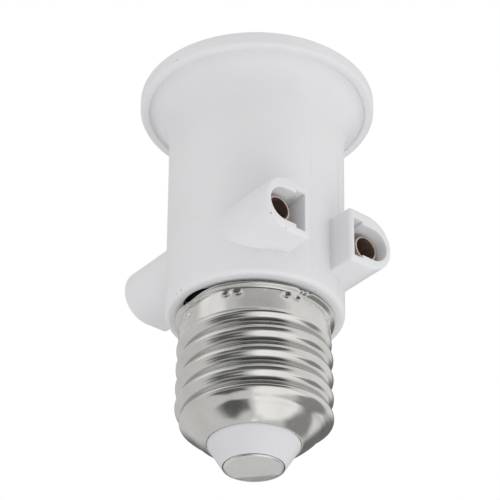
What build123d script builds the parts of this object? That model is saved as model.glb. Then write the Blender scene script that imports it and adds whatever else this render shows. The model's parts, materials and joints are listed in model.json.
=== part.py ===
from build123d import *
from math import sqrt
import os

# Lamp socket adapter: a screw cap below, a lamp socket above and two-pin outlets front and back.
# Sizes are in millimetres. Z is the axis, from the tip contact at zero up to the open mouth.
# The front outlet looks along -Y, the back outlet along +Y.

# Housing
flange_radius = 20.95
flange_top = 73.3
rim_height = 2.7
rim_thickness = 1.6
groove_width = 0.7
groove_depth = 0.9
body_gap = 0.5
body_wall = 1.2
body_taper = 0.33
flare_rise = 7.9
flare_step = 0.07
flare_gap = 0.2
flare_end_slope = 0.75
bottom_edge_round = 0.9
rim_edge_round = 0.7
floor_thickness = 1.5
ledge_z = 44.0
ledge_width = 0.8
mouth_chamfer = 0.8
neck_clearance = 0.15
neck_wall = 1.4
neck_bottom = 12.0
post_radius = 2.4
post_sink = 1.0
post_wall_gap = 0.1

# Outlets
pin_spacing = 19.0
outlet_z = 37.45
hood_lift = 0.3
mouth_distance = 19.55
hood_half_height = 5.17
hood_arc_inset = 0.97
hood_flat_inset = 5.1
hood_draft_degrees = 0.75
hood_mouth_bevel = 0.45
hood_edge_bevel = 0.35
recess_radius = 3.05
recess_wall = 1.5
slot_near_inset = 4.12
slot_far_inset = 2.3
slot_half_height = 3.65

# Pin sleeves and the bars that join them
sleeve_bore = 2.02
sleeve_wall = 0.28
sleeve_recess = 1.9
sleeve_inner_end = 0.8
bar_thickness = 0.5
bar_half_length = 5.6
bar_clearance = 0.4
tab_inner_x = 4.0
tab_width = 4.0

# Screw cap
crest_radius = 13.1
thread_depth = 1.0
thread_pitch = 3.629
thread_bottom = 10.6
thread_top = 22.9
thread_phase_z = 17.5
thread_run_out = 0.15
crest_flat = 1.4
cutter_overlap = 0.25
collar_step = 0.2
cap_sheet = 0.35
lip_reach = 0.57
lip_top = 27.5
lip_height = 1.0
shoulder_radius = 8.0
shoulder_z = 4.2
shoulder_rise = 4.3
shoulder_bow = 0.55
shoulder_steps = 3

# Tip and insulator
tip_radius = 4.94
tip_thickness = 1.0
tip_edge = 0.7
stem_radius = 1.4
stem_head_radius = 2.3
stem_head_height = 0.5
tip_clearance = 0.06
insulator_rim = 0.35
insulator_low_z = 0.5
insulator_clearance = 0.1
insulator_top = 8.0

# Lamp socket
shell_major_radius = 13.35
shell_thread_depth = 1.0
shell_crest_flat = 2.1
shell_sheet = 0.4
shell_clearance = 0.25
shell_recess = 2.9
shell_foot_height = 3.5
shell_flange_land = 0.4
base_clearance = 0.2
base_thickness = 4.0
tongue_hinge_x = 6.1
tongue_foot_back = 1.7
tongue_foot_front = 2.2
tongue_flat_start = -1.2
tongue_flat_end = 1.0
tongue_tail_x = 2.8
tongue_tail_drop = 0.6
tongue_width = 4.4
tongue_sheet = 0.5
tongue_gap = 0.35
tongue_hole_clearance = 0.3
tongue_contact_rise = 2.5

# Fasteners and leads
screw_radius = 1.25
screw_length = 10.0
screw_head_radius = 2.2
screw_head_height = 1.4
rivet_radius = 0.8
rivet_head_radius = 1.5
rivet_head_height = 0.7
rivet_wall_gap = 0.15
lead_radius = 0.8
lead_bend_rise = 4.0
solder_radius = 1.5
solder_thickness = 0.8
solder_wall_gap = 0.15

# How far a cutting shape runs past the face it opens
cut_margin = 1.0

# Sizes that follow from the ones above
pin_x = pin_spacing / 2
hood_z = outlet_z + hood_lift
hood_arc_x = pin_x - hood_arc_inset
hood_flat_x = pin_x - hood_flat_inset
slot_near_x = pin_x - slot_near_inset
slot_far_x = pin_x - slot_far_inset
sleeve_radius = sleeve_bore + sleeve_wall
sleeve_mouth = mouth_distance - sleeve_recess
collar_radius = crest_radius - collar_step
lip_radius = collar_radius + lip_reach
root_radius = crest_radius - thread_depth
cap_groove = thread_pitch - crest_flat
cap_bore_radius = root_radius - cap_sheet
cone_bottom = shoulder_z + cap_sheet
cone_top = shoulder_z + shoulder_rise
cone_slope = (cap_bore_radius - shoulder_radius) / (cone_top - cone_bottom)
insulator_low_radius = tip_radius + tip_clearance + insulator_rim
neck_radius = cap_bore_radius - neck_clearance
body_bottom = lip_top + body_gap
floor_z = body_bottom + floor_thickness
rim_bottom = flange_top - rim_height
rim_inner_radius = flange_radius - rim_thickness
groove_inner_radius = rim_inner_radius - groove_width
base_top = ledge_z + base_thickness
shell_minor_radius = shell_major_radius - shell_thread_depth
shell_radius = shell_major_radius + shell_sheet
shell_groove = thread_pitch - shell_crest_flat
shell_top = flange_top - shell_recess
shell_foot_top = base_top + shell_foot_height
socket_bore_radius = shell_radius + shell_clearance
body_radius = socket_bore_radius + body_wall
body_radius_top = body_radius + body_taper
base_radius = socket_bore_radius - base_clearance
chamber_radius = socket_bore_radius - ledge_width
recess_back = sqrt(chamber_radius ** 2 - slot_near_x ** 2) + recess_wall
post_offset = shell_minor_radius - screw_head_radius - post_wall_gap
shell_flange_inner = post_offset - screw_radius - shell_flange_land
neutral_rivet_x = shell_minor_radius - rivet_head_radius - rivet_wall_gap
bar_bottom = outlet_z - sleeve_radius - bar_thickness
bar_outer_x = sqrt((chamber_radius - bar_clearance) ** 2 - bar_half_length ** 2)
bar_inner_x = 2 * pin_x - bar_outer_x
lead_x = tab_inner_x + tab_width / 2
solder_x = cap_bore_radius - solder_wall_gap - solder_thickness
solder_z = (insulator_top + neck_bottom) / 2


def ring(inner, outer, bottom, top):
    """Plain tube between two radii and two heights."""
    height = top - bottom
    tube = Cylinder(outer, height, align=(Align.CENTER, Align.CENTER, Align.MIN))
    if inner > 0:
        tube -= Cylinder(inner, height, align=(Align.CENTER, Align.CENTER, Align.MIN))
    return Pos(0, 0, bottom) * tube


def rod(radius, bottom, top, x=0.0, y=0.0):
    """Upright cylinder at a place in plan."""
    return Pos(x, y, 0) * ring(0, radius, bottom, top)


def block(x0, x1, y0, y1, z0, z1):
    """Box between two corners."""
    box = Box(x1 - x0, y1 - y0, z1 - z0, align=(Align.MIN, Align.MIN, Align.MIN))
    return Pos(x0, y0, z0) * box


def turned(outline):
    """Solid of revolution of a closed outline drawn as radius and height."""
    return revolve(Plane.XZ * make_face(outline), Axis.Z)


def quarter_turns(solid):
    """The four outlet places: front and back, left and right."""
    mirrored = mirror(solid, Plane.YZ)
    pair = [solid, mirrored]
    return pair + [mirror(one, Plane.XZ) for one in pair]


# Housing

def soft_corner(x, z, size, x_way, z_way):
    """Three points that round a corner: on the level side, across, and on the upright side."""
    across = size * (1 - sqrt(0.5))
    return [
        (x + x_way * size, z),
        (x + x_way * across, z + z_way * across),
        (x, z + z_way * size),
    ]


def housing_profile():
    """Outline of the outer form: neck, body, flared top and rim with its groove."""
    groove_roof = rim_bottom + groove_depth
    flare_top = rim_bottom - flare_gap
    flare_foot = (body_radius_top, flare_top - flare_rise)
    flare_end = (groove_inner_radius - flare_step, flare_top)
    lower = Polyline(
        (0, flange_top),
        (0, neck_bottom),
        (neck_radius, neck_bottom),
        (neck_radius, body_bottom),
        *soft_corner(body_radius, body_bottom, bottom_edge_round, -1, 1),
        flare_foot,
    )
    flare = Spline(flare_foot, flare_end, tangents=((0, 1), (1, flare_end_slope)))
    upper = Polyline(
        flare_end,
        (groove_inner_radius, groove_roof),
        (rim_inner_radius, groove_roof),
        (rim_inner_radius, rim_bottom),
        *soft_corner(flange_radius, rim_bottom, rim_edge_round, -1, 1),
        (flange_radius, flange_top),
        (0, flange_top),
    )
    return lower + flare + upper


def hood_outline():
    """D-shaped section of one hood, in plan X and height, round side away from its partner."""
    low = hood_z - hood_half_height
    high = hood_z + hood_half_height
    side_x = hood_flat_x + hood_edge_bevel
    straight = Polyline(
        (hood_arc_x, high),
        (side_x, high),
        (hood_flat_x, high - hood_edge_bevel),
        (hood_flat_x, low + hood_edge_bevel),
        (side_x, low),
        (hood_arc_x, low),
    )
    tip = (hood_arc_x + hood_half_height, hood_z)
    return make_face(straight + ThreePointArc((hood_arc_x, low), tip, (hood_arc_x, high)))


def hood():
    """One hood, drawn from the mouth inward so that it widens towards the body."""
    place = Plane(origin=(0, -mouth_distance, 0), x_dir=(1, 0, 0), z_dir=(0, -1, 0))
    solid = extrude(place * hood_outline(), -mouth_distance, taper=-hood_draft_degrees)
    mouth = solid.faces().sort_by(Axis.Y)[0]
    return chamfer(mouth.outer_wire().edges(), hood_mouth_bevel)


def hood_recess():
    """Opening of one hood: a D-shaped recess and the taller slot beside the flat wall."""
    back = -recess_back
    front = -mouth_distance - cut_margin
    bore = Cylinder(recess_radius, back - front, align=(Align.CENTER, Align.CENTER, Align.MIN))
    bore = Pos(pin_x, back, outlet_z) * Rot(90, 0, 0) * bore
    near = block(
        slot_near_x, pin_x, front, back,
        outlet_z - recess_radius, outlet_z + recess_radius,
    )
    slot = block(
        slot_near_x, slot_far_x, front, back,
        outlet_z - slot_half_height, outlet_z + slot_half_height,
    )
    return bore + near + slot


def sleeve_hole():
    """Way through the hood's end wall for one sleeve."""
    hole = Cylinder(sleeve_radius, mouth_distance, align=(Align.CENTER, Align.CENTER, Align.MIN))
    return Pos(pin_x, 0, outlet_z) * Rot(90, 0, 0) * hole


def screw_post(side):
    """Post inside the housing for one of the two base screws."""
    y = side * post_offset
    post = rod(post_radius, floor_z - post_sink, ledge_z, 0, y)
    return post - rod(screw_radius, base_top - screw_length - cut_margin, ledge_z + cut_margin, 0, y)


def housing():
    """One white moulding: neck, body, flared rim, four hoods, floor and two screw posts."""
    solid = turned(housing_profile())
    for one in quarter_turns(hood()):
        solid += one
    solid -= ring(0, socket_bore_radius, ledge_z, flange_top + cut_margin)
    solid -= ring(0, chamber_radius, floor_z, ledge_z + cut_margin)
    solid -= ring(0, neck_radius - neck_wall, neck_bottom - cut_margin, floor_z + cut_margin)
    for one in quarter_turns(hood_recess()):
        solid -= one
    for one in quarter_turns(sleeve_hole()):
        solid -= one
    for side in (-1, 1):
        solid += screw_post(side)
    top_edges = solid.edges().filter_by(GeomType.CIRCLE).group_by(Axis.Z)[-1]
    return chamfer(top_edges.sort_by(SortBy.RADIUS)[0], mouth_chamfer)


# Pin sleeves and bars

def sleeve():
    """Tube for one pin, in the front right place."""
    length = sleeve_mouth - sleeve_inner_end
    tube = ring(sleeve_bore, sleeve_radius, 0, length)
    return Pos(pin_x, -sleeve_inner_end, outlet_z) * Rot(90, 0, 0) * tube


def bar():
    """Strip on the right side under its two sleeves, with a tab towards the middle."""
    top = bar_bottom + bar_thickness
    half = tab_width / 2
    strip = block(bar_inner_x, bar_outer_x, -bar_half_length, bar_half_length, bar_bottom, top)
    return strip + block(tab_inner_x, pin_x, -half, half, bar_bottom, top)


def riser(rivet_x):
    """Upright end of a bar with its top turned outward under the socket base, on the right side."""
    half = tab_width / 2
    under = ledge_z - bar_thickness
    upright = block(tab_inner_x, tab_inner_x + bar_thickness, -half, half, bar_bottom, ledge_z)
    top = block(tab_inner_x, rivet_x + rivet_head_radius, -half, half, under, ledge_z)
    hole = rod(rivet_radius, under - cut_margin, ledge_z + cut_margin, rivet_x)
    return upright + top - hole


def neutral_bar():
    """Right-hand bar, joined to the socket shell."""
    return bar() + riser(neutral_rivet_x)


def live_bar():
    """Left-hand bar, joined to the centre tongue."""
    return mirror(bar() + riser(tongue_hinge_x), Plane.YZ)


# Screw cap

def groove_cutter(radius, reach, width, start_z, end_z):
    """Right-handed helical V cutter: from a wall's radius its edge reaches outward, or inward if negative."""
    path = Helix(thread_pitch, end_z - start_z, radius)
    place = Plane(origin=path @ 0, x_dir=(1, 0, 0), z_dir=path % 0)
    behind = -reach * cutter_overlap
    half = width * (1 + cutter_overlap) / 2
    section = Polyline((behind, -half), (reach, 0), (behind, half), close=True)
    cutter = sweep(place * make_face(section), path=path, is_frenet=True)
    return Pos(0, 0, start_z) * cutter


def bowed(start, end, bow, steps):
    """Points of a shallow curve between two points, standing off the straight line by the bow."""
    along = Vector(*end) - Vector(*start)
    aside = Vector(along.Y, -along.X).normalized()
    points = []
    for step in range(steps + 1):
        share = step / steps
        point = Vector(*start) + along * share + aside * (4 * bow * share * (1 - share))
        points.append((point.X, point.Y))
    return points


def cap_blank():
    """Cap before threading: lip, collar, plain thread zone and rounded shoulder."""
    collar_top = lip_top - lip_height
    outline = Polyline(
        (cap_bore_radius, cone_top),
        (shoulder_radius, cone_bottom),
        *bowed((shoulder_radius, shoulder_z), (root_radius, cone_top), shoulder_bow, shoulder_steps),
        (crest_radius, thread_bottom),
        (crest_radius, thread_top),
        (collar_radius, thread_top + collar_step),
        (collar_radius, collar_top),
        (lip_radius, collar_top + cap_sheet),
        (lip_radius, lip_top),
        (lip_radius - cap_sheet, lip_top),
        (cap_bore_radius, collar_top),
        close=True,
    )
    return turned(outline)


def screw_cap():
    """Rolled cap with a true helical thread cut into the crest cylinder."""
    first = thread_phase_z - thread_pitch / 2
    while first > cone_top:
        first -= thread_pitch
    last = thread_top - cap_groove / 2 - thread_run_out
    return cap_blank() - groove_cutter(crest_radius, -thread_depth, cap_groove, first, last)


# Tip and insulator

def cap_insulator():
    """White cone between the cap and the tip contact, with a collar that fills the shoulder."""
    inner_radius = shoulder_radius - insulator_clearance
    top_radius = inner_radius + (insulator_top - cone_bottom) * cone_slope
    outline = Polyline(
        (stem_radius, tip_thickness),
        (insulator_low_radius - insulator_rim, tip_thickness),
        (insulator_low_radius, insulator_low_z),
        (shoulder_radius, shoulder_z),
        (inner_radius, cone_bottom),
        (top_radius, insulator_top),
        (stem_radius, insulator_top),
        close=True,
    )
    return turned(outline)


def tip_contact():
    """Disc with a bevelled edge and a stem riveted over inside the cap."""
    head_top = insulator_top + stem_head_height
    outline = Polyline(
        (0, 0),
        (tip_radius - tip_edge, 0),
        (tip_radius, tip_edge),
        (tip_radius, tip_thickness),
        (stem_radius, tip_thickness),
        (stem_radius, insulator_top),
        (stem_head_radius, insulator_top),
        (stem_head_radius, head_top),
        (0, head_top),
        close=True,
    )
    return turned(outline)


# Lamp socket

def base_holes(x_places, bottom, top):
    """Rivet holes at the given X places and the two screw holes, as one cutting shape."""
    holes = [rod(rivet_radius, bottom - cut_margin, top + cut_margin, x) for x in x_places]
    for side in (-1, 1):
        holes.append(rod(screw_radius, bottom - cut_margin, top + cut_margin, 0, side * post_offset))
    return Compound(holes)


def socket_shell():
    """Lamp socket sleeve with a plain foot, an in-turned flange and a helical thread in its bore."""
    flange_z = base_top + shell_sheet
    solid = ring(shell_minor_radius, shell_radius, shell_foot_top, shell_top)
    solid += ring(shell_major_radius, shell_radius, base_top, shell_foot_top)
    solid += ring(shell_flange_inner, shell_radius, base_top, flange_z)
    solid -= base_holes([neutral_rivet_x], base_top, flange_z)
    first = shell_foot_top + shell_groove / 2 + thread_run_out
    last = shell_top - shell_groove / 2 - thread_run_out
    return solid - groove_cutter(shell_minor_radius, shell_thread_depth, shell_groove, first, last)


def socket_base():
    """Insulating disc that carries the shell and the centre tongue."""
    solid = ring(0, base_radius, ledge_z, base_top)
    return solid - base_holes([neutral_rivet_x, -tongue_hinge_x], ledge_z, base_top)


def centre_tongue():
    """Bent leaf that presses on the lamp's tip, lying free round its rivet."""
    low = base_top + tongue_gap
    high = base_top + tongue_contact_rise - tongue_sheet
    line = [
        (-tongue_hinge_x - tongue_foot_back, low),
        (-tongue_hinge_x + tongue_foot_front, low),
        (tongue_flat_start, high),
        (tongue_flat_end, high),
        (tongue_tail_x, high - tongue_tail_drop),
    ]
    upper = [(x, z + tongue_sheet) for x, z in reversed(line)]
    section = make_face(Polyline(*line, *upper, close=True))
    leaf = Pos(0, tongue_width / 2, 0) * extrude(Plane.XZ * section, tongue_width)
    hole_radius = rivet_radius + tongue_hole_clearance
    return leaf - rod(hole_radius, base_top, low + tongue_sheet + cut_margin, -tongue_hinge_x)


# Fasteners, leads and solder

def base_screws():
    """Two screws through the shell flange and base into the posts."""
    screws = []
    seat = base_top + shell_sheet
    for side in (-1, 1):
        y = side * post_offset
        shank = rod(screw_radius, base_top - screw_length, seat, 0, y)
        screws.append(shank + rod(screw_head_radius, seat, seat + screw_head_height, 0, y))
    return Compound(screws)


def rivet(x, seat):
    """Rivet through the base and a bar, headed at both ends."""
    under = ledge_z - bar_thickness
    solid = rod(rivet_radius, under, seat, x)
    solid += rod(rivet_head_radius, seat, seat + rivet_head_height, x)
    return solid + rod(rivet_head_radius, under - rivet_head_height, under, x)


def tongue_rivet():
    """Rivet that holds the centre tongue with a little play."""
    return rivet(-tongue_hinge_x, base_top + 2 * tongue_gap + tongue_sheet)


def neutral_rivet():
    """Rivet that joins the shell flange to the neutral bar."""
    return rivet(neutral_rivet_x, base_top + shell_sheet)


def lead(*points):
    """Insulated wire along straight runs."""
    path = Polyline(*points)
    place = Plane(origin=path @ 0, z_dir=path % 0)
    return sweep(place * Circle(lead_radius), path=path, transition=Transition.RIGHT)


def live_lead():
    """Wire from the tip's stem up to the live bar."""
    start = insulator_top + stem_head_height
    bend = body_bottom + lead_bend_rise
    return lead((0, 0, start), (0, 0, body_bottom), (-lead_x, 0, bend), (-lead_x, 0, bar_bottom))


def neutral_lead():
    """Wire from the solder inside the cap up to the neutral bar."""
    return lead((solder_x, 0, solder_z), (lead_x, 0, solder_z), (lead_x, 0, bar_bottom))


def cap_solder():
    """Flat bead of solder between the neutral lead and the inside of the cap."""
    bead = Cylinder(solder_radius, solder_thickness, align=(Align.CENTER, Align.CENTER, Align.MIN))
    return Pos(solder_x, 0, solder_z) * Rot(0, 90, 0) * bead


# Export, one file for each named piece

def write(name, solid):
    """Save one node."""
    export_step(solid, os.path.join("parts", name + ".step"))


os.makedirs("parts", exist_ok=True)
front_right, front_left, back_right, back_left = quarter_turns(sleeve())
write("housing", housing())
write("sleeve_front_neutral", front_right)
write("sleeve_front_live", front_left)
write("sleeve_back_neutral", back_right)
write("sleeve_back_live", back_left)
write("neutral_bar", neutral_bar())
write("live_bar", live_bar())
write("screw_cap", screw_cap())
write("cap_insulator", cap_insulator())
write("tip_contact", tip_contact())
write("socket_shell", socket_shell())
write("socket_base", socket_base())
write("centre_tongue", centre_tongue())
write("base_screws", base_screws())
write("tongue_rivet", tongue_rivet())
write("neutral_rivet", neutral_rivet())
write("live_lead", live_lead())
write("neutral_lead", neutral_lead())
write("cap_solder", cap_solder())
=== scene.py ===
import bmesh
import bpy
import json
from math import ceil, cos, exp, floor, hypot, pi, radians, sin, sqrt, tan
from mathutils import Matrix, Vector


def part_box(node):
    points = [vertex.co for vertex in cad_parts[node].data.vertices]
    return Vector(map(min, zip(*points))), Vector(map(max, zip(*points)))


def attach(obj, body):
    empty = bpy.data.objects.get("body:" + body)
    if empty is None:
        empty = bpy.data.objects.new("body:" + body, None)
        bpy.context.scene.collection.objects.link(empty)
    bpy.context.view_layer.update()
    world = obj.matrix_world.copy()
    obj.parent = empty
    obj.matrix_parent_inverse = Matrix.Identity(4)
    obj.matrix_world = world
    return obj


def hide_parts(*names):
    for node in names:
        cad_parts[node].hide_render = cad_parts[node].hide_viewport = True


# Looks of the lamp socket adapter, in metres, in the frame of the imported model.
# Z is the axis, from the tip contact at zero up to the open mouth. The front outlet looks along -Y.

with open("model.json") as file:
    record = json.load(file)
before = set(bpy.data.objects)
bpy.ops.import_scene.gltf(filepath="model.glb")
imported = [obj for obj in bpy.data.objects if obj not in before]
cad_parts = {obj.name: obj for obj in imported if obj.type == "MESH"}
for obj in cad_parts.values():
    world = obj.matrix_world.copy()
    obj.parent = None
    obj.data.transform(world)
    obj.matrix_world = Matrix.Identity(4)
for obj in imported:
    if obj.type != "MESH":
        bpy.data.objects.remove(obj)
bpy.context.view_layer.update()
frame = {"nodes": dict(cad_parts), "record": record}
nodes = frame["nodes"]
mm = 0.001

# Sizes read from the frame
housing_low, housing_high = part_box("housing")
_, cap_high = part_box("screw_cap")
_, insulator_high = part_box("cap_insulator")
_, tip_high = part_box("tip_contact")
shell_low, shell_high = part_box("socket_shell")
base_low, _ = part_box("socket_base")
sleeve_low, sleeve_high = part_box("sleeve_front_neutral")
screws_low, screws_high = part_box("base_screws")

# Housing: neck, body, flare, rim and bore
flange_radius = housing_high.x
flange_top = housing_high.z
rim_height = 2.7 * mm
rim_thickness = 1.6 * mm
rim_edge_round = 0.7 * mm
rim_lip_round = 0.3 * mm
rim_inner_round = 0.3 * mm
rim_bottom = flange_top - rim_height
rim_inner = flange_radius - rim_thickness
groove_width = 0.7 * mm
groove_depth = 0.5 * mm
groove_inner = rim_inner - groove_width
groove_roof = rim_bottom + groove_depth
groove_wall_rise = 0.4 * groove_depth
groove_top_offset = 0.4 * groove_width
body_bottom = cap_high.z + 0.5 * mm
body_radius = 15.2 * mm
body_radius_top = 15.53 * mm
body_row_height = 0.7 * mm
bottom_edge_round = 0.9 * mm
flare_rise = 7.9 * mm
flare_gap = 0.3 * mm
flare_step = 0.07 * mm
flare_end_slope = 0.75
# The groove's curve takes over before the flare's curve comes to its end
flare_steps = 18
flare_kept_steps = 15
neck_bottom = housing_low.z
neck_radius = 11.6 * mm
neck_hole = 10.2 * mm
floor_z = body_bottom + 1.5 * mm
ledge_z = base_low.z
bore_radius = shell_high.x + 0.25 * mm
bore_row_height = 4 * mm
chamber_radius = bore_radius - 0.8 * mm
mouth_chamfer = 0.8 * mm
round_segments = 240

# Housing: notch for a lead, the painted shade in it and in the neck, and posts for the screws
notch_place = radians(178)
notch_half_width = radians(17)
notch_reach = (12.5 * mm, 13.4 * mm)
notch_depth = 0.9 * mm
notch_overlap = 1 * mm
notch_neck_cut = 0.1 * mm
notch_steps = 24
# Heights between which the notch is painted near-black as the shade of the gap under the cap's lip
notch_shade_bottom = body_bottom + 0.01 * mm
notch_shade_top = floor_z - 0.1 * mm
screw_head_radius = 2.2 * mm
post_radius = 2.4 * mm
post_hole = 1.25 * mm
post_offset = screws_high.y - screw_head_radius
post_bottom = floor_z - 1 * mm
post_top = ledge_z - 0.05 * mm
post_columns = 32

# Housing: marks of the mould and of use, and painted shade inside the outlets
mould_line_height = 0.05 * mm
mould_line_width = 0.4 * mm
mould_line_bottom = body_bottom + 1.5 * mm
# Each mould line: place round the axis in degrees and height of its top end
mould_lines = [(-116, 57 * mm), (-114.2, 57 * mm), (-91.2, 61 * mm), (-87.9, 61 * mm), (-63, 57 * mm)]
dirt_and_shade_colour = (0.10, 0.085, 0.075)
mark_core = 0.3
# Each dirt spot: place round the axis in degrees, distance from the axis, height, size and strength
dirt_spots = [
    (-170.6, 20.9 * mm, 71.2 * mm, 0.22 * mm, 0.55),
    (-173.0, 20.9 * mm, 71.1 * mm, 0.15 * mm, 0.4),
    (168.3, 20.9 * mm, 71.35 * mm, 0.2 * mm, 0.25),
    (-168.3, 15.3 * mm, 40.65 * mm, 0.2 * mm, 0.25),
    (-122.8, 22.9 * mm, 34.5 * mm, 0.22 * mm, 0.6),
    (-115.7, 21.5 * mm, 32.8 * mm, 0.17 * mm, 0.5),
    (176.7, 15.05 * mm, 28.4 * mm, 0.22 * mm, 0.6),
    (170.8, 15.05 * mm, 28.45 * mm, 0.2 * mm, 0.45),
]
# Both ends of the scuff: place round the axis in degrees and height
scuff_start = (179.2, 57.3 * mm)
scuff_end = (180.6, 59.1 * mm)
scuff_radius = 15.5 * mm
scuff_size = 0.15 * mm
scuff_strengths = (0.28, 0.28, 0.22, 0.16)
# Painted shade at the back of each outlet: its offset inward and up from the sleeve's axis, size and
# strength
recess_shade_inward = 1 * mm
recess_shade_rise = 1.5 * mm
recess_shade_size = 3.6 * mm
recess_shade_strength = 0.33

# Outlets
pin_x = (sleeve_low.x + sleeve_high.x) / 2
outlet_z = (sleeve_low.z + sleeve_high.z) / 2
sleeve_radius = (sleeve_high.x - sleeve_low.x) / 2
sleeve_inset = 1.9 * mm
mouth_distance = sleeve_inset - sleeve_low.y
hood_z = outlet_z + 0.3 * mm
hood_half_height = 5.17 * mm
hood_arc_x = pin_x - 0.97 * mm
hood_flat_x = pin_x - 5.1 * mm
hood_draft = tan(radians(0.75))
hood_draft_length = 6 * mm
hood_row_shares = (0.25, 0.5, 0.75)
hood_root_radius = 14.25 * mm
hood_root_length = mouth_distance - 10 * mm
hood_corner_round = 0.45 * mm
hood_mouth_round = 0.6 * mm
hood_mouth_steps = 6
# Where the upper half of a hood's outline starts and ends, beside its middle line
hood_first_degrees = 2
hood_last_rise = 0.3 * mm
recess_radius = 3.05 * mm
recess_back = 13.55 * mm
recess_edge = 0.2 * mm
recess_edge_steps = 4
recess_outer_growth = 1.5 * recess_edge
recess_steps = 32
slot_near_x = pin_x - 4.12 * mm
slot_far_x = pin_x - 2.3 * mm
slot_half_height = 3.65 * mm
hole_radius = sleeve_radius + 0.01 * mm
hole_start = recess_back + 1 * mm
hole_end = 9 * mm
hole_columns = 64

# Screw cap: shoulder and thread
cap_sheet = 0.3 * mm
cap_columns = 300
# Points of the shoulder's outline, as radius and height in millimetres
shoulder_points = [
    (7.72, 4.75),
    (7.76, 4.48),
    (8.0, 4.42),
    (9.2, 5.2),
    (10.5, 6.35),
    (11.5, 7.5),
    (12.05, 8.6),
]
shoulder_inner_spacing = 5
shoulder_wave = 0.05 * mm
shoulder_wave_count = 5
shoulder_wave_rise = 0.9 * mm
shoulder_wave_start = (4.4 * mm, 5.4 * mm)
shoulder_wave_end = (7.5 * mm, 9.5 * mm)
thread_pitch = 3.629 * mm
thread_crest_z = 16.6 * mm
thread_crest = 13.1 * mm
thread_root = 12.1 * mm
# Heights between which the thread grows out of the shoulder, and between which it ends in the collar
thread_start = (6.2 * mm, 8.6 * mm)
thread_end = (21.5 * mm, 22.9 * mm)
thread_row_height = 0.1 * mm
# Painted shade in the thread's valleys, where the crests shade them: its reach, strength and colour
valley_share = 0.12
valley_shade_strength = 0.55
valley_shade_colour = (0.10, 0.095, 0.09)

# Screw cap: collar, dimples and lip
collar_radius = 12.7 * mm
collar_lean = 0.045
collar_row_height = 0.13 * mm
dimple_depth = 0.34 * mm
dimple_radius = 0.5 * mm
dimple_reach = 3
dimple_drop = 1.65 * mm
dimple_spread = radians(4.45)
dimple_first = radians(-146)
dimple_pairs = 8
lip_radius = cap_high.x
lip_top = cap_high.z
lip_slope = 58
lip_hollow = 0.3 * mm
lip_bead = 0.27 * mm
lip_edge = 0.15 * mm
lip_run = lip_radius - collar_radius - (lip_hollow + lip_bead) * (1 - cos(radians(lip_slope)))
lip_rise = lip_run / tan(radians(lip_slope))
lip_curl_bottom = lip_top - lip_edge - (lip_hollow + lip_bead) * sin(radians(lip_slope)) - lip_rise
lip_dip = 0.8 * mm
lip_dip_place = radians(177)
lip_dip_width = radians(14)
lip_nick = 0.35 * mm
lip_nick_places = [radians(-91.5), radians(-95), radians(-87)]
lip_nick_width = radians(1.3)
lip_wave = 0.05 * mm
lip_wave_count = 3
lip_wave_phase = 1

# Insulator and tip
insulator_bottom = 0.28 * mm
insulator_top_radius = insulator_high.x - 0.05 * mm
cone_low = 5.24 * mm
cone_wide = 7.66 * mm
cone_top = 4.3 * mm
cone_round = 0.08 * mm
cone_row_height = 0.4 * mm
cone_neck = 0.06 * mm
cone_neck_rise = 0.5 * mm
tip_hole = 5.15 * mm
tip_seat_depth = 0.85 * mm
tip_edge = 0.43 * mm
tip_back = 1.0 * mm
tip_steps = 24
tip_columns = 128
tip_wear_place = radians(40)
tip_wear_start = 2.6 * mm
tip_wear_slope = tan(radians(6.5))
stem_hole = 1.4 * mm
stem_radius = stem_hole - 0.02 * mm
stem_head_radius = 2.3 * mm
# Fine radius left free at the axis of a turned piece that has no hole
axis_gap = 0.01 * mm

# Lamp socket
shell_wall = 0.4 * mm
shell_major = shell_high.x - shell_wall
shell_minor = shell_major - 1.0 * mm
shell_edge = 0.2 * mm
shell_edge_inner = shell_minor + 0.15 * mm
shell_flange_inner = 8.4 * mm
shell_flange_top = shell_low.z + shell_wall
shell_foot_round = 0.3 * mm
shell_foot_top = shell_low.z + 3.5 * mm
shell_blend = 0.1 * mm
shell_groove_half = 0.85 * mm
shell_groove_margin = 0.915 * mm
shell_groove_first = shell_foot_top + shell_groove_margin
shell_groove_last = shell_high.z - shell_groove_margin
shell_fade_outward = 0.05 * mm
shell_fade_inward = 0.15 * mm
shell_row_height = 0.13 * mm
shell_blend_row_height = 0.05 * mm
shell_columns = 160
screw_shank_radius = 1.22 * mm
screw_point = 0.8 * mm
screw_head_edge = 0.5 * mm
screw_head_steps = 8
screw_slot_half_width = 0.25 * mm
screw_slot_depth = 0.6 * mm
screw_columns = 48

# Materials: scales of the noises, how far the roughness spreads, and depths of the relief
cloud_scale = 60
gloss_scale = 400
gloss_spread = (-0.05, 0.07)
skin_scale = 2500
skin_depth = 0.02 * mm
plastic_refraction = 1.5
tarnish_scale = 180
polish_scale = 900
polish_spread = (-0.05, 0.06)
line_scale = 3000
line_depth = 0.015 * mm

# Camera, from the photograph
camera_azimuth = radians(-38.71)
camera_elevation = radians(-32.96)
camera_roll = radians(0.59)
camera_distance = 350 * mm
camera_target = Vector((-0.42, 0.34, 43.13)) * mm
camera_lens = 145.94
camera_sensor = 36
camera_shift = (-0.0052, -0.0106)
camera_near = 0.01

# Stage
object_middle = Vector((0, 0, 36 * mm))
stage_floor_z = -0.6
stage_floor_half = 30.0
stage_floor_colour = (0.85, 0.85, 0.85)
stage_floor_roughness = 0.8
surround_light = 0.84
surround_seen = 1.0
lamp_size = 0.5
# Each lamp: name, distance to the camera's right, towards the camera and up, and power
lamps = [
    ("key", 0.3, 0.28, -0.35, 1.0),
    ("fill", -0.4, 0.05, -0.4, 0.25),
]
# Glowing dome of painted reflections, seen only by mirror rays
dome_radius = 0.5
dome_step = 3
dome_end = 87
dome_white = 0.97
room_shade = 0.62
patch_core = 0.55
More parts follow.
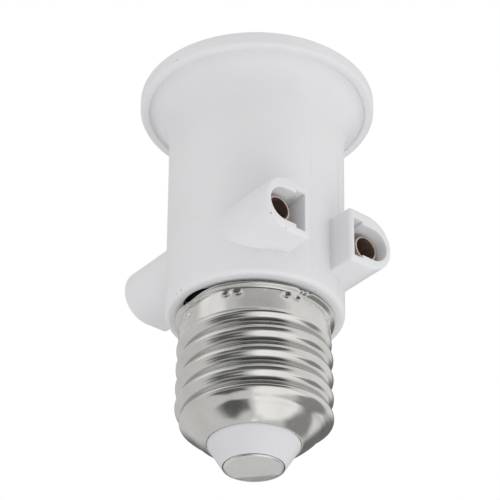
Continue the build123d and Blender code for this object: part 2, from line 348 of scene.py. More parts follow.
# Each patch that the metal mirrors: middle to the right of the camera's way and above the horizon,
# half width and half height, all in degrees, and brightness
reflection_patches = [
    (90, 15, 75, 85, 0.78),
    (-20, 66, 70, 24, 0.32),
    (12, 12, 48, 26, 0.07),
    (-5, -10, 62, 22, 0.12),
    (-30, -38, 50, 18, 0.36),
    (-48, -58, 45, 17, 0.1),
    (50, -61, 60, 28, 1.0),
    (120, -43, 34, 21, 0.26),
    (172, 4, 38, 34, 0.16),
    (-70, 32, 30, 18, 0.92),
]


# Mesh helpers

def mesh_object(name, points, faces):
    """New object from points and faces, with every face looking outward."""
    mesh = bpy.data.meshes.new(name)
    mesh.from_pydata([tuple(p) for p in points], [], faces)
    mesh.validate()
    work = bmesh.new()
    work.from_mesh(mesh)
    bmesh.ops.recalc_face_normals(work, faces=work.faces)
    work.to_mesh(mesh)
    work.free()
    thing = bpy.data.objects.new(name, mesh)
    bpy.context.scene.collection.objects.link(thing)
    return thing


def grid(rows, closed_rows, cap_ends=False):
    """Points and faces of a grid of equal rows, each row a closed ring."""
    points = [p for row in rows for p in row]
    across = len(rows[0])
    down = len(rows)
    faces = []
    for i in range(down if closed_rows else down - 1):
        a = i * across
        b = (i + 1) % down * across
        for j in range(across):
            k = (j + 1) % across
            faces.append((a + j, a + k, b + k, b + j))
    if cap_ends:
        faces.append(tuple(reversed(range(across))))
        faces.append(tuple(range((down - 1) * across, down * across)))
    return points, faces


def angles(count):
    """Equal steps round the axis."""
    return [2 * pi * i / count for i in range(count)]


def around(radius, angle, z):
    """Point at a distance from the axis, an angle round it and a height."""
    return radius * cos(angle), radius * sin(angle), z


def lathe(name, profile, columns=round_segments, centre=(0, 0)):
    """Closed ring-shaped solid of revolution of an outline of radius and height."""
    rows = []
    for radius, z in profile:
        rows.append([(centre[0] + radius * cos(a), centre[1] + radius * sin(a), z) for a in angles(columns)])
    return mesh_object(name, *grid(rows, closed_rows=True))


def arc(centre_r, centre_z, radius, start, end, steps):
    """Points of a round corner, angles in degrees."""
    points = []
    for i in range(steps + 1):
        a = radians(start + (end - start) * i / steps)
        points.append((centre_r + radius * cos(a), centre_z + radius * sin(a)))
    return points


def between(start, end, steps):
    """Points from one point to another in equal steps, without the first."""
    points = []
    for i in range(1, steps + 1):
        t = i / steps
        points.append((start[0] + (end[0] - start[0]) * t, start[1] + (end[1] - start[1]) * t))
    return points


def line(start, end, spacing):
    """Points from one point to another, without the first, no further apart than the spacing."""
    return between(start, end, max(1, ceil(hypot(end[0] - start[0], end[1] - start[1]) / spacing)))


def smooth_step(low, high, value):
    """Soft rise from 0 to 1 between two values."""
    t = min(max((value - low) / (high - low), 0), 1)
    return t * t * (3 - 2 * t)


def through(points, steps):
    """Smooth curve through points, with the given steps between neighbours."""
    ends = [points[0]] + points + [points[-1]]
    curve = [points[0]]
    for i in range(1, len(ends) - 2):
        before, start, end, after = ends[i - 1:i + 3]
        for k in range(1, steps + 1):
            t = k / steps
            place = []
            for axis in (0, 1):
                a, b, c, d = before[axis], start[axis], end[axis], after[axis]
                bend = 2 * a - 5 * b + 4 * c - d
                twist = 3 * b - a - 3 * c + d
                place.append(0.5 * (2 * b + (c - a) * t + bend * t ** 2 + twist * t ** 3))
            curve.append(tuple(place))
    return curve


def carve(target, tool, operation):
    """Joins a solid to the target or cuts it away."""
    modifier = target.modifiers.new("carve", "BOOLEAN")
    modifier.operation = operation
    modifier.solver = "EXACT"
    modifier.object = tool
    graph = bpy.context.evaluated_depsgraph_get()
    carved = bpy.data.meshes.new_from_object(target.evaluated_get(graph))
    target.modifiers.remove(modifier)
    target.data = carved
    bpy.data.objects.remove(tool)


def smooth(thing, sharp_degrees):
    """Smooth shading that keeps edges sharper than the angle."""
    thing.data.shade_smooth()
    thing.data.set_sharp_from_angle(angle=radians(sharp_degrees))


def dress(thing, material, body, slot_name, *replaced):
    """Gives a new piece its material and body and hides the nodes it stands for; the finish's name is not
    used.
    """
    thing.data.materials.clear()
    thing.data.materials.append(material)
    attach(thing, body)
    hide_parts(*replaced)


def four_places(points, faces):
    """The same solid at the four outlets, mirrored left to right and front to back."""
    all_points = []
    all_faces = []
    for x_way in (1, -1):
        for y_way in (1, -1):
            first = len(all_points)
            all_points += [(x * x_way, y * y_way, z) for x, y, z in points]
            for face in faces:
                order = face if x_way * y_way > 0 else tuple(reversed(face))
                all_faces.append(tuple(first + i for i in order))
    return all_points, all_faces


# Housing

def flare_point(t):
    """Point on the flare: upright at its foot, spreading towards the rim."""
    foot = Vector((body_radius_top, rim_bottom - flare_gap - flare_rise))
    end = Vector((groove_inner - flare_step, rim_bottom - flare_gap))
    reach = (end - foot).length
    start_way = Vector((0, 1)) * reach
    end_way = Vector((1, flare_end_slope)).normalized() * reach
    point = foot * (2 * t ** 3 - 3 * t ** 2 + 1) + start_way * (t ** 3 - 2 * t ** 2 + t)
    point += end * (3 * t ** 2 - 2 * t ** 3) + end_way * (t ** 3 - t ** 2)
    return point.x, point.y


def rim_profile(start):
    """Outline of the groove and the rim, from the flare's last point to the flat top."""
    inner_wall = (groove_inner, rim_bottom + groove_wall_rise)
    top = (rim_inner - groove_top_offset, groove_roof)
    outer_wall = (rim_inner, rim_bottom + rim_inner_round)
    inner, edge, lip = rim_inner_round, rim_edge_round, rim_lip_round
    profile = through([start, inner_wall, top, outer_wall], steps=6)[1:-1]
    profile += arc(rim_inner + inner, rim_bottom + inner, inner, 180, 270, steps=6)
    profile += arc(flange_radius - edge, rim_bottom + edge, edge, -90, 0, steps=7)
    profile += arc(flange_radius - lip, flange_top - lip, lip, 0, 90, steps=4)
    return profile


def housing_profile():
    """Outline of neck, body, flare, grooved rim, socket bore and chamber."""
    edge = bottom_edge_round
    flare = [flare_point(i / flare_steps) for i in range(flare_kept_steps + 1)]
    profile = [(neck_hole, neck_bottom), (neck_radius, neck_bottom), (neck_radius, body_bottom)]
    profile += arc(body_radius - edge, body_bottom + edge, edge, -90, 0, steps=8)
    profile += line((body_radius, body_bottom + edge), flare[0], body_row_height)
    profile += flare[1:]
    profile += rim_profile(flare[-1])
    profile += [(bore_radius + mouth_chamfer, flange_top), (bore_radius, flange_top - mouth_chamfer)]
    profile += line(profile[-1], (bore_radius, ledge_z), bore_row_height)
    profile += [(chamber_radius, ledge_z), (chamber_radius, floor_z), (neck_hole, floor_z)]
    return profile


def hood_ring(growth):
    """D-shaped outline as X and Z, round side out; point i pairs with the last but i across its middle."""
    half = hood_half_height + growth
    flat = hood_flat_x - growth
    corner = hood_corner_round
    upper = arc(hood_arc_x, 0, half, hood_first_degrees, 90, steps=24)
    upper += between((hood_arc_x, half), (flat + corner, half), steps=6)
    upper += arc(flat + corner, half - corner, corner, 90, 180, steps=4)[1:]
    upper += between((flat, half - corner), (flat, hood_last_rise), steps=6)
    lower = [(x, -z) for x, z in reversed(upper)]
    return [(x, hood_z + z) for x, z in upper + lower]


def hood_solid():
    """One hood in the front right place: root bent round the body, drafted sides and a rounded mouth."""
    root = []
    for x, z in hood_ring(hood_draft * hood_root_length):
        root.append((x, -sqrt(max(hood_root_radius ** 2 - x * x, 0)), z))
    rows = [root]
    side_end = hood_mouth_round - mouth_distance
    for share in hood_row_shares:
        ring = hood_ring(hood_draft * (1 - share) * hood_draft_length)
        rows.append([(x, y + (side_end - y) * share, z) for (x, z), (_, y, _) in zip(ring, root)])
    for i in range(hood_mouth_steps + 1):
        a = pi / 2 * i / hood_mouth_steps
        y = -mouth_distance + hood_mouth_round * (1 - sin(a))
        rows.append([(x, y, z) for x, z in hood_ring(hood_mouth_round * (cos(a) - 1))])
    points, faces = grid(rows, closed_rows=False)
    across = len(root)
    last = (len(rows) - 1) * across
    for i in range(across // 2 - 1):
        j = across - 1 - i
        faces.append((i, j, j - 1, i + 1))
    faces.append(tuple(range(last, last + across)))
    return points, faces


def recess_ring(growth, y):
    """Outline of the hood's opening at a depth: round at one side, a taller slot at the other."""
    radius = recess_radius + growth
    slot = slot_half_height + growth
    ring = []
    for i in range(recess_steps + 1):
        a = pi * i / recess_steps
        ring.append((pin_x + radius * sin(a), -radius * cos(a)))
    ring += [
        (slot_far_x + growth, radius),
        (slot_far_x + growth, slot),
        (slot_near_x - growth, slot),
        (slot_near_x - growth, -slot),
        (slot_far_x + growth, -slot),
        (slot_far_x + growth, -radius),
    ]
    return [(x, y, outlet_z + z) for x, z in ring]


def recess_solid():
    """Cutting shape of one hood's opening, with a softened edge."""
    rows = [recess_ring(recess_outer_growth, -mouth_distance - recess_edge)]
    for i in range(recess_edge_steps + 1):
        a = pi / 2 * i / recess_edge_steps
        rows.append(recess_ring(recess_edge * (1 - sin(a)), -mouth_distance + recess_edge * (1 - cos(a))))
    rows.append(recess_ring(0, -recess_back))
    return grid(rows, closed_rows=False, cap_ends=True)


def sleeve_hole():
    """Cutting shape of the way through a hood's end wall."""
    rows = []
    for y in (-hole_start, -hole_end):
        row = []
        for a in angles(hole_columns):
            row.append((pin_x + hole_radius * cos(a), y, outlet_z + hole_radius * sin(a)))
        rows.append(row)
    return grid(rows, closed_rows=False, cap_ends=True)


def wire_notch():
    """Cutting shape of the notch beside the neck, where a lead passes under the cap's lip."""
    low = body_bottom - notch_overlap
    high = body_bottom + notch_depth
    near = neck_radius - notch_neck_cut
    rows = []
    for i in range(notch_steps + 1):
        off = 2 * i / notch_steps - 1
        a = notch_place + notch_half_width * off
        far = notch_reach[0] + (notch_reach[1] - notch_reach[0]) * sqrt(1 - off * off)
        corners = ((near, low), (far, low), (far, high), (near, high))
        rows.append([around(r, a, z) for r, z in corners])
    return grid(rows, closed_rows=False, cap_ends=True)


def turned_housing():
    """Turned shape of the housing, with faint upright ridges left by the mould on the body."""
    half = mould_line_width / 2 / body_radius
    columns = [(a, 0) for a in angles(round_segments)]
    for place, top in mould_lines:
        middle = radians(place) % (2 * pi)
        columns += [(middle - half, 0), (middle, top), (middle + half, 0)]
    columns.sort()
    rows = []
    for radius, z in housing_profile():
        row = []
        for a, top in columns:
            ridge = radius >= body_radius and mould_line_bottom < z < top
            row.append(around(radius + mould_line_height if ridge else radius, a, z))
        rows.append(row)
    return mesh_object("housing_moulding", *grid(rows, closed_rows=True))


def housing_marks():
    """Place, size and strength of the dirt spots, of a scuff and of the painted shade inside the four
    outlets.
    """
    marks = []
    for place, radius, z, size, strength in dirt_spots:
        marks.append((Vector(around(radius, radians(place), z)), size, strength))
    for i, strength in enumerate(scuff_strengths):
        share = i / (len(scuff_strengths) - 1)
        a = radians(scuff_start[0] + (scuff_end[0] - scuff_start[0]) * share)
        z = scuff_start[1] + (scuff_end[1] - scuff_start[1]) * share
        marks.append((Vector(around(scuff_radius, a, z)), scuff_size, strength))
    x = pin_x - recess_shade_inward
    z = outlet_z + recess_shade_rise
    for x_way in (-1, 1):
        for y_way in (-1, 1):
            place = Vector((x * x_way, recess_back * y_way, z))
            marks.append((place, recess_shade_size, recess_shade_strength))
    return marks


def in_painted_shade(place):
    """Whether a place of the housing lies in the notch or in the neck, which are painted near-black as
    shade.
    """
    radius = hypot(place.x, place.y)
    in_notch = radius < notch_reach[1] and notch_shade_bottom < place.z < notch_shade_top
    in_neck = radius < neck_radius and place.z < floor_z
    return in_notch or in_neck


def housing_piece(material, shade_material):
    """The white moulding, cut and joined like the real one, with painted black shade in its notch and neck.
    """
    thing = turned_housing()
    carve(thing, mesh_object("hoods", *four_places(*hood_solid())), "UNION")
    carve(thing, mesh_object("recesses", *four_places(*recess_solid())), "DIFFERENCE")
    carve(thing, mesh_object("holes", *four_places(*sleeve_hole())), "DIFFERENCE")
    carve(thing, mesh_object("notch", *wire_notch()), "DIFFERENCE")
    post = [
        (post_hole, post_bottom),
        (post_radius, post_bottom),
        (post_radius, post_top),
        (post_hole, post_top),
    ]
    for side in (-1, 1):
        carve(thing, lathe("post", post, post_columns, (0, side * post_offset)), "UNION")
    smooth(thing, sharp_degrees=32)
    dress(thing, material, "adapter", "white_plastic", "housing")
    thing.data.materials.append(shade_material)
    # Faces in the notch and the neck get the painted shade
    for face in thing.data.polygons:
        face.material_index = 1 if in_painted_shade(face.center) else 0


# Screw cap

def thread_offset(z, angle):
    """Distance along the axis to the nearest crest of the cap's right-handed thread."""
    turn = (z - thread_crest_z) / thread_pitch - angle / (2 * pi)
    return abs(turn - floor(turn + 0.5)) * thread_pitch


def thread_wave(z, angle):
    """Height of the cap's thread from 0 in the valley to 1 on the crest, both rounded by equal arcs."""
    off = thread_offset(z, angle)
    half_depth = (thread_crest - thread_root) / 2
    quarter = thread_pitch / 4
    radius = (half_depth ** 2 + quarter ** 2) / (2 * half_depth)
    near = min(off, 2 * quarter - off)
    drop = (radius - sqrt(radius ** 2 - near ** 2)) / (2 * half_depth)
    return 1 - drop if off < quarter else drop


def gap_between(angle, place):
    """Signed angle from a place to an angle."""
    return (angle - place + pi) % (2 * pi) - pi


def lip_sag(angle):
    """How far the cap's top sags at an angle, where a lead passes over it."""
    return lip_dip * exp(-(gap_between(angle, lip_dip_place) / lip_dip_width) ** 2)


def lip_drop(angle):
    """How far the cap's hand-rolled lip lies below its highest place at an angle."""
    drop = lip_sag(angle)
    for place in lip_nick_places:
        drop += lip_nick * exp(-(gap_between(angle, place) / lip_nick_width) ** 2)
    return drop + lip_wave * (1 + sin(lip_wave_count * angle + lip_wave_phase))


def dimple(angle, z):
    """Depth of the crimp dimples at a point of the collar."""
    depth = 0
    for pair in range(dimple_pairs):
        for side in (-1, 1):
            place = dimple_first + 2 * pi * pair / dimple_pairs + side * dimple_spread
            off = gap_between(angle, place) * collar_radius
            away = hypot(off, z - (lip_top - dimple_drop - lip_sag(place))) / dimple_radius
            if away < dimple_reach:
                depth += dimple_depth * exp(-away * away)
    return depth


def cap_radius(z, angle, plain):
    """Outer radius of the cap in its shoulder, thread and collar."""
    rise = smooth_step(*thread_start, z)
    wave = smooth_step(*shoulder_wave_start, z) * (1 - smooth_step(*shoulder_wave_end, z))
    wave *= shoulder_wave * sin(shoulder_wave_count * angle + z / shoulder_wave_rise)
    threaded = plain + wave + (thread_crest - thread_root) * rise * thread_wave(z, angle)
    share = smooth_step(*thread_end, z)
    collar = collar_radius + collar_lean * (lip_curl_bottom - z)
    return threaded + (collar - threaded) * share - dimple(angle, z)


def valley_depth(z, angle):
    """How deep in the thread's valley a point of the cap lies, from 0 outside it to 1 at its bottom."""
    threaded = smooth_step(*thread_start, z) * (1 - smooth_step(*thread_end, z))
    return threaded * (1 - smooth_step(0, valley_share, thread_wave(z, angle)))


def cap_outlines():
    """Outer and inner outline of the cap's sheet below its lip."""
    shoulder = [(r * mm, z * mm) for r, z in through(shoulder_points, steps=10)]
    shoulder_top = shoulder[-1][1]
    upright = line((thread_root, shoulder_top), (thread_root, thread_end[1]), thread_row_height)
    upright += line(upright[-1], (thread_root, lip_curl_bottom), collar_row_height)
    inner = [
        (collar_radius - cap_sheet, lip_curl_bottom),
        (collar_radius - cap_sheet, thread_end[1]),
        (thread_root - cap_sheet, thread_end[0]),
        (thread_root - cap_sheet, shoulder_top),
    ]
    for r, z in reversed(shoulder[:-1:shoulder_inner_spacing]):
        inner.append((r - cap_sheet / 2, z + cap_sheet))
    return shoulder + upright, inner


def lip_outline():
    """Outline of the turned-out lip above the collar: a hollow, a slope, a rounded edge and a top."""
    points = arc(collar_radius + lip_hollow, lip_curl_bottom, lip_hollow, 180, 180 - lip_slope, steps=6)
    points += between(points[-1], (points[-1][0] + lip_run, points[-1][1] + lip_rise), steps=4)
    points += arc(lip_radius - lip_bead, lip_top - lip_edge, lip_bead, -lip_slope, 0, steps=5)[1:]
    points += arc(lip_radius - lip_edge, lip_top - lip_edge, lip_edge, 0, 180, steps=8)[1:]
    return points


def mark_valleys(thing, rows, columns, outer_rows):
    """Writes on each point of the cap how deep in the thread's valley it lies, for the painted shade of its
    material.
    """
    layer = thing.data.color_attributes.new("valley", "FLOAT_COLOR", "POINT")
    for i, row in enumerate(rows):
        for j, a in enumerate(columns):
            depth = valley_depth(row[j][2], a) if i < outer_rows else 0
            layer.data[i * len(columns) + j].color = (depth, depth, depth, 1)


def cap_piece(material):
    """Rolled metal cap: shoulder, rounded thread, dimpled collar and turned-out lip, as a thin sheet."""
    outer, inner = cap_outlines()
    columns = angles(cap_columns)
    rows = []
    for r, z in outer:
        rows.append([around(cap_radius(z, a, r), a, z) for a in columns])
    for r, z in lip_outline()[1:]:
        share = smooth_step(lip_curl_bottom, lip_top, z)
        rows.append([around(r, a, z - lip_drop(a) * share) for a in columns])
    for r, z in inner:
        rows.append([around(r, a, z) for a in columns])
    thing = mesh_object("rolled_cap", *grid(rows, closed_rows=True))
    mark_valleys(thing, rows, columns, len(outer))
    smooth(thing, sharp_degrees=60)
    dress(thing, material, "adapter", "nickel_cap", "screw_cap")


def insulator_piece(material):
    """White cone between cap and tip, with a soft lower edge round the tip."""
    seat_z = insulator_bottom + tip_seat_depth
    outline = [(stem_hole, seat_z), (tip_hole, seat_z), (tip_hole, insulator_bottom)]
    outline += arc(cone_low - cone_round, insulator_bottom + cone_round, cone_round, -90, -30, steps=4)
    outline += line(outline[-1], (cone_wide, cone_top), cone_row_height)
    outline.append((cone_wide - cone_neck, cone_top + cone_neck_rise))
    outline += [(insulator_top_radius, insulator_high.z), (stem_hole, insulator_high.z)]
    thing = lathe("insulator_cone", outline)
    smooth(thing, sharp_degrees=40)
    dress(thing, material, "adapter", "white_insulator", "cap_insulator")


def tip_piece(material):
    """Flat contact disc with a rolled edge, worn a little on one side, and its stem."""
    radius = tip_high.x
    flat = radius - tip_edge
    head_z = insulator_high.z
    outline = [(axis_gap, 0)] + between((axis_gap, 0), (flat, 0), tip_steps)
    outline += arc(flat, tip_edge, tip_edge, -90, 0, steps=8)[1:]
    outline += [(radius, tip_back), (stem_radius, tip_back), (stem_radius, head_z)]
    outline += [(stem_head_radius, head_z), (stem_head_radius, tip_high.z), (axis_gap, tip_high.z)]
    thing = lathe("tip_disc", outline, tip_columns)
    for vertex in thing.data.vertices:
        reach = vertex.co.x * cos(tip_wear_place) + vertex.co.y * sin(tip_wear_place) - tip_wear_start
        if vertex.co.z < tip_back and reach > 0:
            vertex.co.z += reach * tip_wear_slope
    smooth(thing, sharp_degrees=40)
    dress(thing, material, "adapter", "tip_metal", "tip_contact")


# Lamp socket

def shell_bore(z, angle):
    """Inner radius of the socket sleeve above its foot, with a rounded groove that fades at both ends."""
    first, last = shell_groove_first, shell_groove_last
    turn = floor((z - first) / thread_pitch - angle / (2 * pi) + 0.5)
    middle = first + (turn + angle / (2 * pi)) * thread_pitch
    depth = smooth_step(shell_groove_half, 0, abs(z - middle))
    depth *= smooth_step(first - shell_fade_outward, first + shell_fade_inward, middle)
    depth *= 1 - smooth_step(last - shell_fade_inward, last + shell_fade_outward, middle)
    share = smooth_step(shell_foot_top - shell_blend, shell_foot_top + shell_blend, z)
    return shell_major - (shell_major - shell_minor) * share * (1 - depth)


def shell_piece(material):
    """Threaded socket sleeve with a plain foot, a rolled top edge and an in-turned flange."""
    outer = shell_high.x
    top = shell_high.z
    outside = [
        (shell_flange_inner, shell_low.z),
        (outer, shell_low.z),
        (outer, top - shell_edge),
        (outer - shell_edge, top),
        (shell_edge_inner, top),
    ]
    inside = line((0, top), (0, shell_foot_top + shell_blend), shell_row_height)
    inside += line(inside[-1], (0, shell_foot_top - shell_blend), shell_blend_row_height)
    foot = [
        (shell_major, shell_flange_top + shell_foot_round),
        (shell_major - shell_foot_round, shell_flange_top),
        (shell_flange_inner, shell_flange_top),
    ]
    columns = angles(shell_columns)
    rows = [[around(r, a, z) for a in columns] for r, z in outside]
    rows += [[around(shell_bore(z, a), a, z) for a in columns] for _, z in inside]
    rows += [[around(r, a, z) for a in columns] for r, z in foot]
    thing = mesh_object("threaded_shell", *grid(rows, closed_rows=True))
    smooth(thing, sharp_degrees=45)
    dress(thing, material, "adapter", "socket_metal", "socket_shell")


def screw_outline():
    """Outline of a screw: point, shank, flat seat and domed head."""
    seat = shell_flange_top
    edge = seat + screw_head_edge
    top = screws_high.z
    outline = [
        (axis_gap, screws_low.z),
        (screw_shank_radius, screws_low.z + screw_point),
        (screw_shank_radius, seat),
        (screw_head_radius, seat),
    ]
    for i in range(screw_head_steps):
        a = pi / 2 * i / screw_head_steps
        outline.append((screw_head_radius * cos(a), edge + (top - edge) * sin(a)))
    outline.append((axis_gap, top))
    return outline


def screw_slot(y):
    """Cutting shape of the slot in a screw's head."""
    half = screw_slot_half_width
    top = screws_high.z
    corners = []
    for x in (-screw_head_radius, screw_head_radius):
        for side in (y - half, y + half):
            corners += [(x, side, top - screw_slot_depth), (x, side, top + screw_slot_depth)]
    sides = [(0, 1, 3, 2), (4, 6, 7, 5), (0, 4, 5, 1), (2, 3, 7, 6), (0, 2, 6, 4), (1, 5, 7, 3)]
    return mesh_object("slot", corners, sides)


def screw_piece(material):
    """Two round-headed screws with a slot in each head."""
    screws = []
    for y in (-post_offset, post_offset):
        screw = lathe("screw", screw_outline(), screw_columns, (0, y))
        carve(screw, screw_slot(y), "DIFFERENCE")
        screws.append(screw)
    first, second = screws
    carve(first, second, "UNION")
    first.name = "slotted_screws"
    smooth(first, sharp_degrees=35)
    dress(first, material, "adapter", "fastener_steel", "base_screws")


# Materials

class Shader:
    """A node material with a few short ways to add nodes."""

    def __init__(self, name, colour, metallic, roughness):
        self.material = bpy.data.materials.new(name)
        self.material.use_nodes = True
        self.tree = self.material.node_tree
        self.surface = self.tree.nodes["Principled BSDF"]
        self.surface.inputs["Base Color"].default_value = (*colour, 1)
        self.surface.inputs["Metallic"].default_value = metallic
        self.surface.inputs["Roughness"].default_value = roughness
        self.place = self.tree.nodes.new("ShaderNodeTexCoord").outputs["Object"]

    def link(self, start, end):
        """Joins the output of one node to the input of another."""
        self.tree.links.new(start, end)

    def noise(self, scale, detail=3.0, stretch=None):
        """Noise over the object's own space, with an optional stretch along its axes."""
        node = self.tree.nodes.new("ShaderNodeTexNoise")
        node.inputs["Scale"].default_value = scale
        node.inputs["Detail"].default_value = detail
        if stretch:
            mapping = self.tree.nodes.new("ShaderNodeMapping")
            mapping.inputs["Scale"].default_value = stretch
            self.link(self.place, mapping.inputs["Vector"])
            self.link(mapping.outputs["Vector"], node.inputs["Vector"])
        else:
            self.link(self.place, node.inputs["Vector"])
        return node.outputs["Fac"]

    def ramp(self, value, low, high, from_low=0.3, from_high=0.7):
        """Maps a value onto a range."""
        node = self.tree.nodes.new("ShaderNodeMapRange")
        node.inputs["From Min"].default_value = from_low
        node.inputs["From Max"].default_value = from_high
        node.inputs["To Min"].default_value = low
        node.inputs["To Max"].default_value = high
        self.link(value, node.inputs["Value"])
        return node.outputs["Result"]

    def colours(self, value, dark, light):
        """Blend of two colours by a value."""
        node = self.tree.nodes.new("ShaderNodeMix")
        node.data_type = "RGBA"
        node.inputs["A"].default_value = (*dark, 1)
        node.inputs["B"].default_value = (*light, 1)
        self.link(value, node.inputs["Factor"])
        return node.outputs["Result"]

    def tinted(self, colour, tint, amount):
        """A colour that goes over to a tint by an amount."""
        node = self.tree.nodes.new("ShaderNodeMix")
        node.data_type = "RGBA"
        self.link(colour, node.inputs["A"])
        node.inputs["B"].default_value = (*tint, 1)
        self.link(amount, node.inputs["Factor"])
        return node.outputs["Result"]

    def spot(self, colour, centre, radius, strength):
        """Darkens a colour in a round spot, for dirt or for painted shade."""
        away = self.tree.nodes.new("ShaderNodeVectorMath")
        away.operation = "DISTANCE"
        away.inputs[1].default_value = centre
        self.link(self.place, away.inputs[0])
        amount = self.ramp(away.outputs["Value"], strength, 0, mark_core * radius, radius)
        return self.tinted(colour, dirt_and_shade_colour, amount)

    def shaded_in_valleys(self, colour):
        """Painted shade: darkens a colour in the valleys of a thread."""
        valley = self.tree.nodes.new("ShaderNodeAttribute")
        valley.attribute_name = "valley"
        amount = self.ramp(valley.outputs["Fac"], 0, valley_shade_strength, 0, 1)
        return self.tinted(colour, valley_shade_colour, amount)

    def bump(self, height, strength, distance):
        """Fine relief on the surface."""
        node = self.tree.nodes.new("ShaderNodeBump")
        node.inputs["Strength"].default_value = strength
        node.inputs["Distance"].default_value = distance
        self.link(height, node.inputs["Height"])
        self.link(node.outputs["Normal"], self.surface.inputs["Normal"])

    def uneven_roughness(self, noise, roughness, spread):
        """Roughness that goes up and down by a spread with a noise."""
        uneven = self.ramp(noise, roughness + spread[0], roughness + spread[1])
        self.link(uneven, self.surface.inputs["Roughness"])


def plastic(name, light, dark, roughness, relief, spots=()):
    """Smooth moulded plastic with faint clouding, dirt spots and painted shade, uneven gloss and a fine
    moulded skin.
    """
    shader = Shader(name, light, metallic=0.0, roughness=roughness)
    cloud = shader.ramp(shader.noise(cloud_scale), 0, 1)
    colour = shader.colours(cloud, dark, light)
    for place, size, strength in spots:
        colour = shader.spot(colour, place, size, strength)
    shader.link(colour, shader.surface.inputs["Base Color"])
    shader.uneven_roughness(shader.noise(gloss_scale), roughness, gloss_spread)
    shader.bump(shader.noise(skin_scale, detail=2.0), relief, skin_depth)
    shader.surface.inputs["IOR"].default_value = plastic_refraction
    return shader.material


def metal(name, light, dark, roughness, relief, stretch=None, valleys=False):
    """Plated or drawn metal with slight tarnish, uneven polish and fine lines, and painted shade in a
    thread's valleys if asked.
    """
    shader = Shader(name, light, metallic=1.0, roughness=roughness)
    tarnish = shader.ramp(shader.noise(tarnish_scale, detail=5.0), 0, 1)
    colour = shader.colours(tarnish, dark, light)
    # Painted shade in the thread's valleys
    if valleys:
        colour = shader.shaded_in_valleys(colour)
    shader.link(colour, shader.surface.inputs["Base Color"])
    polish = shader.noise(polish_scale, detail=4.0, stretch=stretch)
    shader.uneven_roughness(polish, roughness, polish_spread)
    shader.bump(shader.noise(line_scale, detail=3.0, stretch=stretch), relief, line_depth)
    return shader.material


# Stage

def make_floor():
    """Pale floor well below the hanging object."""
    half = stage_floor_half
    outline = [(-half, -half), (half, -half), (half, half), (-half, half)]
    ground = mesh_object("stage_floor", [(x, y, stage_floor_z) for x, y in outline], [(0, 1, 2, 3)])
    shader = Shader("stage_floor", stage_floor_colour, metallic=0.0, roughness=stage_floor_roughness)
    ground.data.materials.append(shader.material)
    ground.visible_glossy = False


def make_world():
    """White surround that lights the object softly, a little weaker than it looks to camera and mirrors."""
    world = bpy.data.worlds.new("studio")
    bpy.context.scene.world = world
    world.use_nodes = True
    tree = world.node_tree
    background = tree.nodes["Background"]
    background.inputs["Color"].default_value = (1, 1, 1, 1)
    paths = tree.nodes.new("ShaderNodeLightPath")
    seen = paths.outputs["Is Camera Ray"]
    for name in ("Is Glossy Ray", "Is Transmission Ray"):
        largest = tree.nodes.new("ShaderNodeMath")
        largest.operation = "MAXIMUM"
        tree.links.new(seen, largest.inputs[0])
        tree.links.new(paths.outputs[name], largest.inputs[1])
        seen = largest.outputs["Value"]
    strength = tree.nodes.new("ShaderNodeMapRange")
    strength.inputs["To Min"].default_value = surround_light
    strength.inputs["To Max"].default_value = surround_seen
    tree.links.new(seen, strength.inputs["Value"])
    tree.links.new(strength.outputs["Result"], background.inputs["Strength"])


def camera_axes():
    """The camera's right, up and back ways before its roll."""
    a, e = camera_azimuth, camera_elevation
    back = Vector((sin(a) * cos(e), -cos(a) * cos(e), sin(e)))
    right = Vector((cos(a), sin(a), 0))
    return right, back.cross(right), back


def make_camera():
    """Camera at the photograph's viewing angle."""
    right, up, back = camera_axes()
    turn = Matrix((right, up, back)).transposed() @ Matrix.Rotation(camera_roll, 3, "Z")
    data = bpy.data.cameras.new("camera")
    data.lens = camera_lens
    data.sensor_width = camera_sensor
    data.shift_x, data.shift_y = camera_shift
    data.clip_start = camera_near
    thing = bpy.data.objects.new("camera", data)
    thing.matrix_world = Matrix.Translation(camera_target + back * camera_distance) @ turn.to_4x4()
    bpy.context.scene.collection.objects.link(thing)
    bpy.context.scene.camera = thing


def soft_lamp(name, place, target, size, power):
    """Large area lamp that looks at a point and isn't seen itself."""
    lamp = bpy.data.lights.new(name, "AREA")
    lamp.shape = "DISK"
    lamp.size = size
    lamp.energy = power
    thing = bpy.data.objects.new(name, lamp)
    thing.location = place
    thing.rotation_mode = "QUATERNION"
    thing.rotation_quaternion = (target - place).to_track_quat("-Z", "Y")
    thing.visible_camera = False
    thing.visible_glossy = False
    bpy.context.scene.collection.objects.link(thing)


def reflected_shade(side, rise):
    """Brightness that reflections see in a direction, in degrees from the camera's side of the object."""
    shade = room_shade
    for patch_side, patch_rise, half_width, half_height, patch_shade in reflection_patches:
        across = abs((side - patch_side + 180) % 360 - 180) / half_width
        along = abs(rise - patch_rise) / half_height
        share = (1 - smooth_step(patch_core, 1, across)) * (1 - smooth_step(patch_core, 1, along))
        shade += (patch_shade - shade) * share
    return shade


def dome_material():
    """Glow as bright as the shade that is written on each point of the dome."""
    shader = Shader("reflection_dome", colour=(0, 0, 0), metallic=0.0, roughness=1.0)
    source = shader.tree.nodes.new("ShaderNodeAttribute")
    source.attribute_name = "shade"
    shader.link(source.outputs["Color"], shader.surface.inputs["Emission Color"])
    shader.surface.inputs["Emission Strength"].default_value = 1.0
    return shader.material


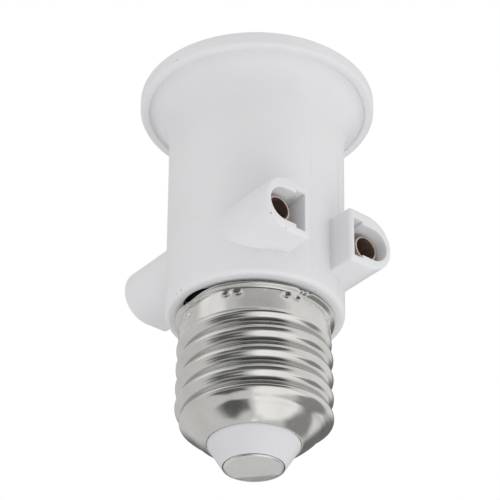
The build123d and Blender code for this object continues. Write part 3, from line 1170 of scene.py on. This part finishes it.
def reflection_dome():
    """Glowing dome of painted reflections: soft dark patches that only reflections show; where it is white,
    it is left open.
    """
    right, _, back = camera_axes()
    ahead = Vector((back.x, back.y, 0)).normalized()
    rows = []
    shades = []
    for rise in range(-dome_end, dome_end + 1, dome_step):
        row = []
        for side in range(-180, 180, dome_step):
            flat = ahead * cos(radians(side)) + right * sin(radians(side))
            way = flat * cos(radians(rise)) + Vector((0, 0, sin(radians(rise))))
            row.append(object_middle + way * dome_radius)
            shades.append(reflected_shade(side, rise))
        rows.append(row)
    points, faces = grid(rows, closed_rows=False)
    faces = [face for face in faces if min(shades[i] for i in face) < dome_white]
    dome = mesh_object("reflection_dome", points, faces)
    layer = dome.data.color_attributes.new("shade", "FLOAT_COLOR", "POINT")
    for i, shade in enumerate(shades):
        layer.data[i].color = (shade, shade, shade, 1)
    dome.data.materials.append(dome_material())
    dome.visible_camera = False
    dome.visible_diffuse = False
    dome.visible_shadow = False
    dome.visible_transmission = False


def make_lights():
    """The glowing dome of painted reflections that the metal mirrors, and two soft lamps below: a key at the
    right and a weak fill left.
    """
    reflection_dome()
    right, _, back = camera_axes()
    for name, aside, towards, above, power in lamps:
        place = object_middle + right * aside + back * towards + Vector((0, 0, above))
        soft_lamp(name, place, object_middle, lamp_size, power)


# Materials of the new pieces

white_plastic = plastic("white_plastic", light=(0.80, 0.80, 0.815), dark=(0.775, 0.775, 0.79),
                        roughness=0.36, relief=0.12, spots=housing_marks())
# Near-black painted shade for the notch and the neck, where the gap under the cap's lip lies in shadow
notch_painted_shade = plastic("notch_painted_shade", light=(0.025, 0.022, 0.02), dark=(0.015, 0.013, 0.012),
                       roughness=0.8, relief=0.4)
nickel_cap = metal("nickel_cap", light=(0.79, 0.78, 0.755), dark=(0.70, 0.69, 0.665),
                   roughness=0.13, relief=0.1, valleys=True)
white_insulator = plastic("white_insulator", light=(0.70, 0.70, 0.725), dark=(0.675, 0.675, 0.70),
                          roughness=0.45, relief=0.15)
tip_metal = metal("tip_metal", light=(0.90, 0.90, 0.885), dark=(0.85, 0.85, 0.835),
                  roughness=0.3, relief=0.2)
socket_metal = metal("socket_metal", light=(0.75, 0.74, 0.72), dark=(0.66, 0.65, 0.63),
                     roughness=0.22, relief=0.1)
fastener_steel = metal("fastener_steel", light=(0.6, 0.6, 0.6), dark=(0.45, 0.45, 0.44),
                       roughness=0.3, relief=0.2)

# Materials of the kept nodes

sleeve_brass = metal("sleeve_brass", light=(0.86, 0.73, 0.65), dark=(0.66, 0.52, 0.45),
                     roughness=0.42, relief=0.2, stretch=(1, 0.1, 1))
spring_brass = metal("spring_brass", light=(0.80, 0.62, 0.34), dark=(0.62, 0.45, 0.22),
                     roughness=0.32, relief=0.2)
rivet_steel = metal("rivet_steel", light=(0.62, 0.62, 0.61), dark=(0.48, 0.48, 0.47),
                    roughness=0.34, relief=0.2)
base_plastic = plastic("base_plastic", light=(0.78, 0.78, 0.79), dark=(0.74, 0.74, 0.75),
                       roughness=0.5, relief=0.2)
live_wire = plastic("live_wire", light=(0.25, 0.12, 0.06), dark=(0.20, 0.09, 0.045),
                    roughness=0.5, relief=0.3)
neutral_wire = plastic("neutral_wire", light=(0.08, 0.16, 0.42), dark=(0.06, 0.12, 0.33),
                       roughness=0.5, relief=0.3)
solder = metal("solder", light=(0.55, 0.55, 0.56), dark=(0.42, 0.42, 0.43),
               roughness=0.45, relief=0.4)

# The object

housing_piece(white_plastic, notch_painted_shade)
cap_piece(nickel_cap)
insulator_piece(white_insulator)
tip_piece(tip_metal)
shell_piece(socket_metal)
screw_piece(fastener_steel)

kept = {
    "sleeve_brass": sleeve_brass,
    "spring_brass": spring_brass,
    "fastener_steel": rivet_steel,
    "white_insulator": base_plastic,
    "live_wire": live_wire,
    "neutral_wire": neutral_wire,
    "solder": solder,
}
replaced_nodes = {"housing", "screw_cap", "cap_insulator", "tip_contact", "socket_shell", "base_screws"}
for part in frame["record"]["subparts"]:
    if part["node"] not in replaced_nodes:
        mesh = nodes[part["node"]].data
        mesh.materials.clear()
        mesh.materials.append(kept[part["material_slot"]])

make_floor()
make_world()
make_lights()
make_camera()
bpy.context.scene.view_settings.view_transform = "Standard"
